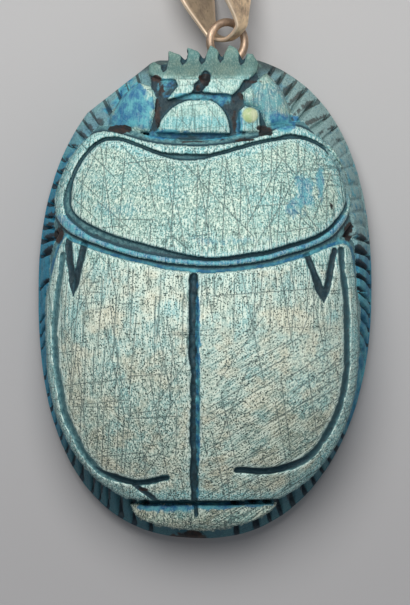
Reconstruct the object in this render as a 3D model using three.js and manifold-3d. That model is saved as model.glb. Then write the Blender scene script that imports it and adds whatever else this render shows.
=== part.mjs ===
// A glazed steatite scarab amulet on a small gold ring and bail, in millimetres.
// +Y points to the beetle's head, +Z up. The origin is the middle of the flat underside.
import * as THREE from 'three';
import { LoftGeometry } from 'three/addons/geometries/LoftGeometry.js';
import { mergeVertices } from 'three/addons/utils/BufferGeometryUtils.js';
import Module from 'manifold-3d';

// ---- driving dimensions ----------------------------------------------------------------------

const WIDTH = 28.4;
const TAIL_REACH = 21;
const HEAD_REACH = 20.3;
const CROWN = 15;
const PLINTH_TOP = 2.6;
const PLINTH_CHAMFER = 0.25;
const LEDGE = 0.3;
const OVAL_POWERS = { headRight: 2.4, headLeft: 2.2, tailLeft: 2.45, tailRight: 2.15 };
const HEAD_FLAT = { rise: 0.78, y: 23.1 };
const HEAD_FRONT = 19.75;
const SHOULDER_TOP = 6.4;
const SHOULDER_INSET = { side: 1.15, end: 3.2 };
const FLOOR = 1;
const SKY = 20;

const BACK = { y: -3.5, halfWidth: 13.3, shift: -0.2 };
const BACK_REACH = { tail: 15.2, head: 20.5 };
const BACK_POWERS = { tail: 2.4, head: 2.8 };
const BACK_TAIL_END = -17.55;
const BACK_HEAD_END = 14.6;
const BACK_EDGE_Z = 6.5;
const CARVE_DEPTH = 0.55;
const PRONOTUM_LIFT = 0.15;
const RIM_GROOVE = 0.5;
const GROOVE = 0.5;
const SUTURE_X = -0.9;

const LEG_SLOT = { pitch: 1.3, width: 0.42, depth: 0.55, length: 3.1, slant: 0.3 };

const BORE_RADIUS = 0.8;
const BORE_TAIL = new THREE.Vector3(-1.2, -TAIL_REACH, 4.3);
const BORE_HEAD = new THREE.Vector3(1.9, 19.8, 3.9);

const RING = { radius: 1.66, wire: 0.36, x: 1.9, y: 21.25, z: 3.9, tilt: 0.49 };
const SHANK = { radius: 0.42, length: 4.6 };
const RING_CLEARANCE = 0.35;
const BAIL = { length: 9.4, halfWidth: 2.48, metal: 0.4, narrow: 1.27, wide: 4.6 };
const BAIL_LIE = { turn: 0.675, swing: 0.257, endZ: 3.34 };
const BAIL_APEX = new THREE.Vector3(2.04, 21.47, 3.98);

const glazed = new THREE.MeshStandardMaterial({ color: 0x9fc4ba, roughness: 0.6, metalness: 0 });
const gold = new THREE.MeshStandardMaterial({ color: 0xb58a52, roughness: 0.35, metalness: 0.9 });

// ---- plan curves, as x, y pairs --------------------------------------------------------------

const PRONOTUM_EDGE = [
  [-0.4, 12.2], [-4.5, 12.5], [-7.9, 13.45], [-9.7, 13.1], [-11.2, 11.3], [-12.4, 8.4], [-12.4, 6.4],
  [-11.2, 4.9], [-8.4, 3.7], [-4.9, 2.7], [0.2, 2.15], [4.7, 2.55], [9.2, 3.9], [11.3, 5.3],
  [12.3, 7.6], [11.7, 10.4], [10.3, 12.6], [7.2, 14.05], [4, 12.85], [-0.4, 12.2],
];
const PRONOTUM_PLATE = [
  [-0.8, 11], [-3.8, 11.4], [-7.2, 12.65], [-9.1, 12.3], [-10.7, 10.3], [-11.2, 8.2], [-10.3, 6.1],
  [-7.9, 4.5], [-4.2, 3.2], [0, 2.75], [3.9, 3.1], [7.2, 3.9], [10.2, 5.3], [11.75, 7.4], [11.7, 9.4],
  [10.3, 11.7], [8, 12.85], [4.8, 12.45], [-0.8, 11],
];
const WING_TOP = [
  [-13.6, -1], [-12.9, 1.6], [-12.4, 3.2], [-11.7, 4.6], [-10.9, 4.1], [-6.1, 2.5], [-0.5, 1.6],
  [4.7, 2], [8.1, 2.85], [11, 3.9], [11.7, 4], [12.2, 3.6], [12.5, 2.2], [12.8, 0.4], [13.2, -2],
];
const MARGIN_LEFT = [
  [-11.9, 3.1], [-12.6, -2.3], [-12.4, -7.2], [-11.3, -11.4], [-9.1, -14.8], [-6.2, -16], [-3.2, -15.6],
];
const MARGIN_RIGHT = [
  [11.4, 3.5], [11.9, -2.3], [11.8, -7.2], [10.8, -10.9], [8.7, -13.9], [5.6, -15], [2.7, -14.95],
];
const NOTCHES = [
  [[-11.4, 4.2], [-11, -0.35]],
  [[-10.1, 3.9], [-11, -0.35]],
  [[8.5, 3], [9.9, -0.85]],
  [[10.8, 3.4], [9.9, -0.85]],
];
const TAIL_BRANCH = [[-6, -16.2], [-4, -17.6]];
const TAIL_PLATE = [
  [-6.3, -18], [-5.8, -19], [-4.2, -19.75], [-2, -20.1], [0.4, -20.2], [3.5, -19.6], [5.3, -18.8],
  [6.2, -17.9],
];
const FACE_PLATE = [
  [-3.75, 13.4], [-3.3, 14.9], [-2.2, 15.9], [-0.7, 16.1], [0.6, 15.9], [1.5, 15.2], [2, 14.3], [2.15, 13.3],
];
const BROW = [
  [-2.5, 17.9], [3.3, 17.95], [2.9, 17.2], [2.3, 16.5], [0.85, 16.7], [-0.25, 16.85], [-1.1, 16.75],
  [-2.2, 16.35], [-3.2, 16.2], [-2.3, 17.3],
];
const TOOTH_TIPS = [[-4.35, 19.5], [-3.15, 20.45], [-1.5, 20.8], [0.45, 20.95], [2.05, 21], [3.55, 20.6]];
const TOOTH_NOTCHES = [[-3.3, 19], [-1.65, 19.6], [-0.1, 19.65], [1.5, 19.8], [3.25, 19.6]];
const CLYPEUS_LEFT = [[-3.6, 17.9], [-4.75, 18.3], [-4.75, 19.1]];
const CLYPEUS_RIGHT = [[4.1, 20.1], [4.6, 19.2], [4.4, 18.5], [3.6, 17.9]];
const HEAD_CORE = [[-4.7, 12], [-4.6, 18.4], [-4.2, 19.2], [4, 19.6], [4.4, 18.4], [3.4, 15.5], [3.4, 12]];
const CHEEK_LEFT = [
  [-8.2, 13.4], [-8.1, 14.9], [-7, 16.5], [-5.6, 17.7], [-4.6, 17.3], [-4.05, 16.3], [-4.1, 15.4],
  [-4.65, 13.4],
];
const CHEEK_RIGHT = [
  [3.05, 16.75], [5.2, 18.5], [6.4, 17.2], [7.2, 15.5], [7.4, 14.1], [5.9, 14.1], [4.9, 15.3], [3.6, 16],
];
const EYE = [[2.9, 13.4], [2.9, 15.2], [3.4, 15.7], [4.5, 15.3], [4.7, 13.4]];

// ---- heights along the middle, as y, z pairs -------------------------------------------------

const BACK_CROWN = [
  [BACK_TAIL_END, 8.7], [-14, 11.2], [-10, 13.2], [-6, 14.5], [-2.5, CROWN], [1.5, 14.7], [5, 14],
  [9, 12.4], [12.5, 10], [BACK_HEAD_END, 8.4],
];
const HEAD_CROWN = [[11, 8.9], [14.5, 8.9], [16.5, 8.6], [18.2, 8], [19.6, 7.2], [21, 6.4]];
const TAIL_CROWN = [[-20.6, 5.2], [-19.4, 6.6], [-17.4, 7.6]];

// ---- solids ----------------------------------------------------------------------------------

const wasm = await Module();
wasm.setup();

function toSolid(geometry) {
  const bare = new THREE.BufferGeometry();
  bare.setAttribute('position', geometry.getAttribute('position'));
  bare.setIndex(geometry.getIndex());
  const welded = mergeVertices(bare, 1e-4);
  const vertProperties = new Float32Array(welded.attributes.position.array);
  const triVerts = new Uint32Array(welded.index.array);
  return new wasm.Manifold(new wasm.Mesh({ numProp: 3, vertProperties, triVerts }));
}

function toMesh(name, solid, material) {
  const { vertProperties, triVerts } = solid.getMesh();
  const geometry = new THREE.BufferGeometry();
  geometry.setAttribute('position', new THREE.BufferAttribute(vertProperties, 3));
  geometry.setIndex(new THREE.BufferAttribute(triVerts, 1));
  geometry.computeVertexNormals();
  const mesh = new THREE.Mesh(geometry, material);
  mesh.name = name;
  return mesh;
}

function prism(outline, bottom, top) {
  const settings = { depth: top - bottom, bevelEnabled: false };
  const geometry = new THREE.ExtrudeGeometry(new THREE.Shape(outline), settings);
  geometry.translate(0, 0, bottom);
  return toSolid(geometry);
}

function joined(solids) {
  return solids.reduce((whole, solid) => whole.add(solid));
}

// ---- curves and outlines ---------------------------------------------------------------------

const vectors = (pairs) => pairs.map(([x, y]) => new THREE.Vector2(x, y));

function smooth(pairs, perPoint = 3) {
  return new THREE.SplineCurve(vectors(pairs)).getPoints(perPoint * (pairs.length - 1));
}

function heightAt(profile, y) {
  const above = profile.findIndex(([py], i) => i > 0 && py > y);
  const next = above < 0 ? profile.length - 1 : above;
  const [y0, z0] = profile[next - 1];
  const [y1, z1] = profile[next];
  return z0 + ((z1 - z0) * (y - y0)) / (y1 - y0);
}

// A point of the hand-cut oval at an angle, inset from its edge: each quarter is a little squarer or
// rounder than the next, all are squarer than an ellipse, and one shoulder of the head is cut flat.
function ovalPoint(insetSide, insetEnd, angle) {
  const c = Math.cos(angle);
  const s = Math.sin(angle);
  const { headRight, headLeft, tailLeft, tailRight } = OVAL_POWERS;
  const power = s > 0 ? (c > 0 ? headRight : headLeft) : (c > 0 ? tailRight : tailLeft);
  const reach = s > 0 ? HEAD_REACH : TAIL_REACH;
  const x = (WIDTH / 2 - insetSide) * Math.sign(c) * Math.abs(c) ** (2 / power);
  const y = (reach - insetEnd) * Math.sign(s) * Math.abs(s) ** (2 / power);
  const { rise } = HEAD_FLAT;
  const past = Math.max(0, y - rise * x - HEAD_FLAT.y + insetEnd * Math.hypot(1, rise)) / (1 + rise ** 2);
  return new THREE.Vector2(x + rise * past, Math.min(y - past, HEAD_FRONT - insetEnd));
}

function normals(points, closed) {
  const n = points.length;
  return points.map((_, i) => {
    const before = points[closed ? (i + n - 1) % n : Math.max(0, i - 1)];
    const after = points[closed ? (i + 1) % n : Math.min(n - 1, i + 1)];
    const along = after.clone().sub(before).normalize();
    return new THREE.Vector2(along.y, -along.x);
  });
}

function moved(points, distance, closed) {
  const out = normals(points, closed);
  return points.map((p, i) => p.clone().addScaledVector(out[i], distance));
}

// A band of the given width along a curve, narrowing to its tip when a tip share is given.
function strip(points, width, tip = 1) {
  const out = normals(points, false);
  const last = points.length - 1;
  const half = (i) => (width / 2) * (1 + (tip - 1) * (i / last));
  const left = points.map((p, i) => p.clone().addScaledVector(out[i], half(i)));
  const right = points.map((p, i) => p.clone().addScaledVector(out[i], -half(i)));
  return left.concat(right.reverse());
}

// ---- lofted bodies ---------------------------------------------------------------------------

function ovalRing(insetSide, insetEnd, z, steps = 72) {
  return Array.from({ length: steps }, (_, i) => {
    const p = ovalPoint(insetSide, insetEnd, (i / steps) * 2 * Math.PI);
    return new THREE.Vector3(p.x, p.y, z);
  });
}

function plinthAndShoulder() {
  const rings = [
    ovalRing(PLINTH_CHAMFER, PLINTH_CHAMFER, 0),
    ovalRing(0, 0, PLINTH_CHAMFER),
    ovalRing(0, 0, PLINTH_TOP),
    ovalRing(LEDGE, LEDGE, PLINTH_TOP + LEDGE),
    ovalRing(SHOULDER_INSET.side, SHOULDER_INSET.end, SHOULDER_TOP),
  ];
  return toSolid(new LoftGeometry(rings, { capStart: true, capEnd: true }));
}

// A body whose cross-sections are arches: half-width and crown height change along Y.
function mound({ from, to, steps, halfWidth, crown, edge, shift = 0, round = 2.4, fall = 1.6, arch = 22 }) {
  const sections = [];
  for (let i = 0; i <= steps; i += 1) {
    const y = from + (to - from) * (0.5 - 0.5 * Math.cos((Math.PI * i) / steps));
    const w = halfWidth(y);
    const rise = crown(y) - edge;
    const section = [];
    for (let k = 0; k <= arch; k += 1) {
      const r = -Math.cos((Math.PI * k) / arch);
      const z = edge + rise * (1 - Math.abs(r) ** round) ** (1 / fall);
      section.push(new THREE.Vector3(shift + w * r, y, z));
    }
    section.push(new THREE.Vector3(shift + w, y, FLOOR));
    section.push(new THREE.Vector3(shift - w, y, FLOOR));
    sections.push(section);
  }
  return toSolid(new LoftGeometry(sections, { capStart: true, capEnd: true }));
}

function backHalfWidth(y) {
  const end = y > BACK.y ? 'head' : 'tail';
  const reach = BACK_REACH[end];
  const power = BACK_POWERS[end];
  return BACK.halfWidth * (1 - (Math.abs(y - BACK.y) / reach) ** power) ** (1 / power);
}

function back(lift, inset = 0) {
  return mound({
    from: BACK_TAIL_END + inset,
    to: BACK_HEAD_END - inset,
    steps: 18,
    halfWidth: (y) => backHalfWidth(y) - inset,
    crown: (y) => heightAt(BACK_CROWN, y) + lift,
    edge: BACK_EDGE_Z + lift,
    shift: BACK.shift,
  });
}

function headMound(lift) {
  return mound({
    from: 11,
    to: 21.2,
    steps: 8,
    halfWidth: () => 8.6,
    crown: (y) => heightAt(HEAD_CROWN, y) + lift,
    edge: 4.6 + lift,
    arch: 14,
  });
}

function tailMound() {
  return mound({
    from: -20.6,
    to: -17.2,
    steps: 4,
    halfWidth: () => 7.4,
    crown: (y) => heightAt(TAIL_CROWN, y),
    edge: 3.6,
    arch: 12,
  });
}

// ---- the carved parts of the beetle ----------------------------------------------------------

function wingCases() {
  const tailward = vectors([[WIDTH / 2, -TAIL_REACH], [-WIDTH / 2, -TAIL_REACH]]);
  return back(0).intersect(prism([...smooth(WING_TOP), ...tailward], FLOOR, SKY));
}

function pronotum() {
  const edge = smooth(PRONOTUM_EDGE).slice(0, -1);
  const plate = smooth(PRONOTUM_PLATE).slice(0, -1);
  const rimInside = moved(plate, RIM_GROOVE, true);
  const rim = prism(edge, FLOOR, SKY).subtract(prism(rimInside, FLOOR, SKY));
  return back(PRONOTUM_LIFT).intersect(rim.add(prism(plate, FLOOR, SKY)));
}

function wingGrooves() {
  const suture = [[SUTURE_X, 1.2], [SUTURE_X + 0.05, -8], [SUTURE_X, -18]];
  const bands = [
    strip(smooth(MARGIN_LEFT), GROOVE),
    strip(smooth(MARGIN_RIGHT), GROOVE),
    strip(smooth(suture), GROOVE),
    strip(vectors(TAIL_BRANCH), GROOVE * 0.8),
    ...NOTCHES.map((arm) => strip(vectors(arm), GROOVE, 0.3)),
  ];
  return joined(bands.map((band) => prism(band, BACK_EDGE_Z - 1, SKY)));
}

// The toothed front edge: each tooth slopes gently to one side and drops steeply into the next notch.
function toothedClypeus() {
  const edge = vectors(CLYPEUS_LEFT);
  TOOTH_TIPS.forEach(([x, y], i) => {
    edge.push(new THREE.Vector2(x, y));
    if (i === TOOTH_NOTCHES.length) return;
    const [notchX, notchY] = TOOTH_NOTCHES[i];
    edge.push(new THREE.Vector2(notchX - 0.5, y - 0.35));
    edge.push(new THREE.Vector2(notchX, notchY));
    edge.push(new THREE.Vector2(notchX + 0.12, notchY + 0.2));
  });
  edge.push(...vectors(CLYPEUS_RIGHT));
  return prism(edge, FLOOR, SKY).intersect(headMound(-0.1));
}

function head() {
  const plates = [
    prism(smooth(FACE_PLATE, 2), FLOOR, SKY).intersect(headMound(0.45)),
    prism(vectors(BROW), FLOOR, SKY).intersect(headMound(0.3)),
    prism(vectors(CHEEK_LEFT), FLOOR, SKY).intersect(headMound(0.25)),
    prism(vectors(CHEEK_RIGHT), FLOOR, SKY).intersect(headMound(0.25)),
    prism(vectors(EYE), FLOOR, SKY).intersect(headMound(0.5)),
    prism(vectors(HEAD_CORE), FLOOR, SKY).intersect(headMound(-0.45)),
    toothedClypeus(),
  ];
  return joined(plates);
}

function tailPlate() {
  const nick = strip(vectors([[SUTURE_X, -18], [SUTURE_X + 0.1, -19.2]]), GROOVE, 0.3);
  const plate = prism(smooth(TAIL_PLATE), FLOOR, SKY).subtract(prism(nick, PLINTH_TOP + 2.4, SKY));
  return plate.intersect(tailMound());
}

// Slanting cuts between the folded legs, all round the slope above the plinth but for the head and tail.
function legSlots() {
  const steps = 720;
  const loop = Array.from({ length: steps + 1 }, (_, i) => {
    const angle = (i / steps) * 2 * Math.PI;
    return ovalPoint((LEDGE + SHOULDER_INSET.side) / 2, (LEDGE + SHOULDER_INSET.end) / 2, angle);
  });
  const cuts = [];
  let run = 0;
  for (let i = 1; i <= steps; i += 1) {
    run += loop[i].distanceTo(loop[i - 1]);
    if (run < LEG_SLOT.pitch) continue;
    run = 0;
    const p = loop[i];
    const underHead = p.y > 0 && Math.abs(p.x) < 5.2;
    const underTail = p.y < 0 && Math.abs(p.x) < 6.6;
    if (underHead || underTail) continue;
    const along = loop[i].clone().sub(loop[i - 1]).normalize();
    const lie = 0.35 + 0.55 * Math.abs(along.x);
    const cut = new THREE.BoxGeometry(LEG_SLOT.width, LEG_SLOT.depth * 2, LEG_SLOT.length);
    cut.rotateY(p.x > 0 ? LEG_SLOT.slant : -LEG_SLOT.slant);
    cut.rotateX(-lie);
    cut.rotateZ(Math.atan2(along.y, along.x));
    cut.translate(p.x, p.y, (PLINTH_TOP + SHOULDER_TOP) / 2 + 0.1);
    cuts.push(toSolid(cut));
  }
  return joined(cuts);
}

function rodAlong(from, to, radius, sides) {
  const along = to.clone().sub(from);
  const upright = new THREE.Vector3(0, 1, 0);
  const rod = new THREE.CylinderGeometry(radius, radius, along.length(), sides);
  rod.applyQuaternion(new THREE.Quaternion().setFromUnitVectors(upright, along.clone().normalize()));
  const middle = from.clone().add(to).multiplyScalar(0.5);
  rod.translate(middle.x, middle.y, middle.z);
  return toSolid(rod);
}

function bore() {
  const reach = BORE_HEAD.clone().sub(BORE_TAIL).normalize();
  return rodAlong(
    BORE_TAIL.clone().addScaledVector(reach, -2),
    BORE_HEAD.clone().addScaledVector(reach, 2),
    BORE_RADIUS,
    12,
  );
}

function ringPocket() {
  const radius = RING.radius + RING.wire + RING_CLEARANCE;
  const pocket = new THREE.CylinderGeometry(radius, radius, 2 * (RING.wire + RING_CLEARANCE), 24);
  pocket.rotateX(Math.PI / 2);
  pocket.rotateY(RING.tilt);
  pocket.translate(RING.x, RING.y, RING.z);
  return toSolid(pocket);
}

function scarab() {
  const plates = wingCases().add(pronotum()).subtract(wingGrooves());
  const body = joined([plinthAndShoulder(), plates, back(-CARVE_DEPTH, 0.3), head(), tailPlate()]);
  const cuts = joined([legSlots(), bore(), ringPocket()]);
  return body.subtract(cuts).simplify(0.01);
}

// ---- the gold ring and bail ------------------------------------------------------------------

function hangingRing() {
  const wire = new THREE.TorusGeometry(RING.radius, RING.wire, 8, 20);
  wire.rotateY(RING.tilt);
  wire.translate(RING.x, RING.y, RING.z);
  const inward = BORE_TAIL.clone().sub(BORE_HEAD).normalize();
  const root = new THREE.Vector3(RING.x, RING.y - RING.radius, RING.z);
  const shank = rodAlong(root, root.clone().addScaledVector(inward, SHANK.length), SHANK.radius, 8);
  return toSolid(wire).add(shank);
}

// A folded strip: a teardrop loop seen along its width, narrow at the ring and wide at the far end,
// turned about its own length so that one leaf lies over the ring and the other under it, and swung
// to the left.
function bail() {
  const { length, halfWidth, metal, narrow, wide } = BAIL;
  const side = [[0.58, 0.056], [0.76, 0.15], [0.92, 0.45], [1, 0.7], [0.74, 0.91]];
  const right = side.map(([r, s]) => new THREE.Vector3(r * halfWidth, s * length, 0));
  const left = right.map((p) => new THREE.Vector3(-p.x, p.y, 0)).reverse();
  const apex = new THREE.Vector3(0, 0, 0);
  const end = new THREE.Vector3(0, length, 0);
  const loop = new THREE.CatmullRomCurve3([apex, ...right, end, ...left], true);
  const steps = 40;
  const sections = [];
  for (let i = 0; i <= steps; i += 1) {
    const p = loop.getPoint((i % steps) / steps);
    const along = loop.getTangent((i % steps) / steps);
    const out = new THREE.Vector3(along.y, -along.x, 0).multiplyScalar(metal / 2);
    const widening = THREE.MathUtils.smoothstep(p.y, 0, length * 0.535);
    const width = THREE.MathUtils.lerp(narrow, wide, widening) / 2;
    sections.push([
      new THREE.Vector3(p.x - out.x, p.y - out.y, width),
      new THREE.Vector3(p.x + out.x, p.y + out.y, width),
      new THREE.Vector3(p.x + out.x, p.y + out.y, -width),
      new THREE.Vector3(p.x - out.x, p.y - out.y, -width),
    ]);
  }
  const strap = new LoftGeometry(sections);
  strap.rotateY(-BAIL_LIE.turn);
  strap.rotateX(Math.atan2(BAIL_LIE.endZ - BAIL_APEX.z, length));
  strap.rotateZ(BAIL_LIE.swing);
  strap.translate(BAIL_APEX.x, BAIL_APEX.y, BAIL_APEX.z);
  return toSolid(strap);
}

// ---- the amulet ------------------------------------------------------------------------------

const amulet = new THREE.Group();
amulet.add(toMesh('scarab', scarab(), glazed));
amulet.add(toMesh('hanging_ring', hangingRing(), gold));
amulet.add(toMesh('bail', bail(), gold));

export default amulet;
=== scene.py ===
"""A carved, glazed steatite scarab amulet with a gold ring and bail, lying on a pale table.

Sizes are in millimetres of the real stone and turn into metres through MM, which comes from the stone's width
in model.glb.
+Y points to the beetle's head, +Z up, and the flat underside lies on the table.
"""

import math
from types import SimpleNamespace

import bpy
import numpy as np
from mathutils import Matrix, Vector


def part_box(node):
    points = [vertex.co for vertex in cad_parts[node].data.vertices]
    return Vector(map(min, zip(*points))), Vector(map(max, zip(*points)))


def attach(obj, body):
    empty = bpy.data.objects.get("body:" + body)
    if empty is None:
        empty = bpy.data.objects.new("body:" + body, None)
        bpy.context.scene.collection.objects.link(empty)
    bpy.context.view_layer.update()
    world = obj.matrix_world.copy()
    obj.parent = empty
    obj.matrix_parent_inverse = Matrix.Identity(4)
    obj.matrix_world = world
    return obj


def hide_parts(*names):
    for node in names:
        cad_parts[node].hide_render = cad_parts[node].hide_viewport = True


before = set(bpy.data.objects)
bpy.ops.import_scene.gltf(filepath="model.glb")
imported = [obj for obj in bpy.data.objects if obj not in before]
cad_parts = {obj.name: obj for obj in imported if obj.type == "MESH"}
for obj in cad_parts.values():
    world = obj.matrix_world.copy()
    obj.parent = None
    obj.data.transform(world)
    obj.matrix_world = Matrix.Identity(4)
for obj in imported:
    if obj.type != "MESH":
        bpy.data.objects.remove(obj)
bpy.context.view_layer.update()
stone_low, stone_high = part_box("scarab")

WIDTH = 28.4
MM = (stone_high.x - stone_low.x) / WIDTH
HALF_WIDTH = WIDTH / 2
TAIL_REACH = 21.0
HEAD_REACH = 20.3
# How square the oval is at each end, on the right and on the left.
OVAL_POWER = {"head": (2.4, 2.2), "tail": (2.15, 2.45)}

# ---- the stone's sizes ----

GRID = 0.075
VOXEL = 0.08
STONE_TRIANGLES = 190_000
AROUND = 1500

PLINTH_TOP = 2.6
SHOULDER_FOOT = PLINTH_TOP + 0.1
SHOULDER_TOP = 6.4
SHOULDER_INSET = (1.15, 3.2)
BACK_EDGE_Z = 6.5
BACK = {"y": -3.5, "half_width": 13.3, "shift": -0.2}
BACK_REACH = {"tail": 15.2, "head": 20.5}
BACK_POWER = {"tail": 2.4, "head": 2.8}
BACK_ENDS = (-17.55, 14.6)
CARVE = 0.6
SHELL_DROP = 0.13
PLATE_LIFT = 0.12
TEETH_LEAN = (0.5, 0.35)
LEG_PITCH = 1.28
LEG_CUT = 0.55
LEG_CUT_HALF = 0.27
LEG_LEAN = {"right": -1.15, "left": 1.0}
LEG_BULGE = 0.16
FLAT_SHOULDER = {"rise": 0.78, "limit": 23.1}
HEAD_FRONT = 19.75
LEDGE = 0.15
SUTURE_X = -0.9
ARCH_ROUND = 2.4
ARCH_FALL = 1.6

BACK_CROWN = [(-17.55, 8.7), (-14, 11.2), (-10, 13.2), (-6, 14.5), (-2.5, 15), (1.5, 14.7), (5, 14),
              (9, 12.4), (12.5, 10), (14.6, 8.4)]
HEAD_CROWN = [(11, 8.9), (14.5, 8.9), (16.5, 8.6), (18.2, 8), (19.6, 7.2), (21, 6.4)]
TAIL_CROWN = [(-20.6, 5.2), (-19.4, 6.6), (-17.4, 7.6)]
HEAD_ARCH = {"half_width": 8.6, "crown": HEAD_CROWN, "edge": 4.6}
TAIL_ARCH = {"half_width": 7.4, "crown": TAIL_CROWN, "edge": 3.6}

PRONOTUM_EDGE = [
    (-0.4, 12.2), (-4.5, 12.5), (-7.9, 13.45), (-9.8, 13.1), (-11.4, 11.3), (-12.6, 8.4), (-12.5, 6.3),
    (-11.2, 4.9), (-8.4, 3.7), (-4.9, 2.7), (0.2, 2.15), (4.7, 2.55), (9.2, 3.9), (11.3, 5.3),
    (12.3, 7.6), (11.7, 10.4), (10.3, 12.6), (7.2, 14.05), (4, 12.85),
]
PRONOTUM_PLATE = [
    (-0.8, 11), (-3.8, 11.4), (-7.2, 12.65), (-9.1, 12.3), (-10.7, 10.3), (-11.2, 8.2), (-10.9, 6.6),
    (-8.5, 5.05), (-5.2, 4), (-1.3, 3.05), (0.8, 2.85), (3.9, 3.2), (7.2, 4), (10.2, 5.3), (11.75, 7.4),
    (11.7, 9.4), (10.3, 11.7), (8, 12.85), (4.8, 12.45),
]
WING_TOP = [
    (-13.6, -1), (-12.9, 1.6), (-12.4, 3.2), (-11.7, 4.6), (-10.9, 4.1), (-6.1, 2.5), (-0.5, 1.6),
    (4.7, 2), (8.1, 2.85), (11, 3.9), (11.7, 4), (12.2, 3.6), (12.5, 2.2), (12.8, 0.4), (13.2, -2),
]
MARGIN_LEFT = [
    (-11.9, 3.1), (-12.6, -2.3), (-12.4, -7.2), (-11.3, -11.4), (-9.1, -14.8), (-6.2, -16), (-3.2, -15.6),
]
MARGIN_RIGHT = [
    (11.4, 3.5), (11.9, -2.3), (11.8, -7.2), (10.8, -10.9), (8.7, -13.9), (5.6, -15), (2.7, -14.95),
]
NOTCHES = [
    [(-11.4, 4.2), (-11, -0.35)],
    [(-10.1, 3.9), (-11, -0.35)],
    [(8.5, 3), (9.9, -0.85)],
    [(10.8, 3.4), (9.9, -0.85)],
]
SEAM = [(SUTURE_X + off, y) for off, y in ((0, 1.2), (-0.05, -4), (0.05, -9), (0, -14), (0.05, -18))]
TAIL_BRANCH = [(-6, -16.2), (-4, -17.6)]
TAIL_PLATE = [
    (-6.3, -18), (-5.8, -19), (-4.2, -19.75), (-2, -20.1), (0.4, -20.2), (3.5, -19.6), (5.3, -18.8),
    (6.2, -17.9),
]
FACE_PLATE = [
    (-4.1, 13.4), (-3.6, 14.5), (-2.8, 15.4), (-1.6, 16), (0, 16.15), (0.95, 15.85), (1.7, 15), (2.05, 14.1),
    (2.1, 13.3),
]
BROW = [
    (-2.5, 17.9), (3.3, 17.95), (2.9, 17.2), (2.3, 16.5), (0.85, 16.7), (-0.25, 16.85), (-1.1, 16.75),
    (-2.2, 16.35), (-3.2, 16.2), (-2.3, 17.3),
]
BROW_MARK = [(0.05, 18.25), (-0.25, 17.6), (-0.9, 16.8)]
CHEEK_LEFT = [
    (-8.2, 13.4), (-8.1, 14.9), (-7, 16.5), (-5.6, 17.7), (-4.6, 17.3), (-4.05, 16.3), (-4.1, 15.4),
    (-4.65, 13.4),
]
CHEEK_RIGHT = [
    (3.05, 16.75), (5.2, 18.5), (6.4, 17.2), (7.2, 15.5), (7.4, 14.1), (5.2, 13.9), (4.55, 15.3), (3.4, 15.9),
]
EYE = [(2.9, 13.4), (2.9, 15.2), (3.4, 15.7), (4.5, 15.3), (4.7, 13.4)]
EYE_DOT = {"x": 3.8, "y": 14.85, "radius": 0.68}
HEAD_PLATES = [(CHEEK_LEFT, 0.15, 0.8), (CHEEK_RIGHT, 0.2, 0.8), (EYE, 0.3, 0.3), (BROW, 0.25, 0.25)]
HEAD_CORE = [(-4.7, 12), (-4.6, 18.4), (-4.2, 19.2), (4, 19.6), (4.4, 18.4), (5.3, 16), (5.6, 12)]
TOOTH_TIPS = [(-4.35, 19.5), (-3.15, 20.4), (-1.5, 20.7), (0.45, 20.85), (2.05, 20.9), (3.6, 20.2)]
TOOTH_NOTCHES = [(-3.3, 19.0), (-1.65, 19.6), (-0.1, 19.65), (1.5, 19.8), (3.25, 19.6)]
CLYPEUS_LEFT = [(-3.6, 17.9), (-4.75, 18.3), (-4.75, 19.1)]
CLYPEUS_RIGHT = [(4.1, 20.1), (4.6, 19.2), (4.4, 18.5), (3.6, 17.9)]

BORE_TAIL = np.array([-1.2, -TAIL_REACH, 4.3])
BORE_HEAD = np.array([1.9, 19.8, 3.9])
BORE_RADIUS = 0.8
TAIL_HOLLOW = {"centre": (-1.2, -20.9, 3.9), "radii": (1.55, 1.5, 1.2)}
RING_POCKET = {"centre": (1.9, 21.25, 3.85), "radii": (2.5, 2.5, 1.35)}

# ---- plan curves and fields ----


def spline(points, closed=False, per=8):
    """Points along a smooth curve through the given ones."""
    p = np.array(points, float)
    if closed:
        p = np.vstack([p[-1:], p, p[:2]])
    else:
        p = np.vstack([2 * p[0] - p[1], p, 2 * p[-1] - p[-2]])
    t = np.linspace(0, 1, per, endpoint=False)[:, None]
    run = []
    for p0, p1, p2, p3 in zip(p, p[1:], p[2:], p[3:]):
        run.append(0.5 * (2 * p1 + (p2 - p0) * t + (2 * p0 - 5 * p1 + 4 * p2 - p3) * t**2
                          + (3 * p1 - p0 - 3 * p2 + p3) * t**3))
    if not closed:
        run.append(p[-2:-1])
    return np.vstack(run)


def distance(path, x, y, closed=False, reach=2.0):
    """Distance in the plan from each place to a path, and how far along the path the nearest point is."""
    ends = np.roll(path, -1, axis=0) if closed else path[1:]
    starts = path if closed else path[:-1]
    near = np.full(x.shape, reach)
    share = np.zeros(x.shape)
    low = path.min(axis=0) - reach
    high = path.max(axis=0) + reach
    inside = (x > low[0]) & (x < high[0]) & (y > low[1]) & (y < high[1])
    px, py = x[inside], y[inside]
    best, where = near[inside], share[inside]
    for i, (a, b) in enumerate(zip(starts, ends)):
        ab = b - a
        size = max(float(ab @ ab), 1e-12)
        t = np.clip(((px - a[0]) * ab[0] + (py - a[1]) * ab[1]) / size, 0, 1)
        d = np.hypot(px - a[0] - t * ab[0], py - a[1] - t * ab[1])
        nearer = d < best
        best = np.where(nearer, d, best)
        where = np.where(nearer, (i + t) / len(starts), where)
    near[inside] = best
    share[inside] = where
    return near, share


def within(path, x, y):
    """Whether each place lies inside a closed path."""
    inside = np.zeros(x.shape, bool)
    for a, b in zip(path, np.roll(path, -1, axis=0)):
        if a[1] == b[1]:
            continue
        crosses = (a[1] > y) != (b[1] > y)
        inside ^= crosses & (x < (b[0] - a[0]) * (y - a[1]) / (b[1] - a[1]) + a[0])
    return inside


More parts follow.
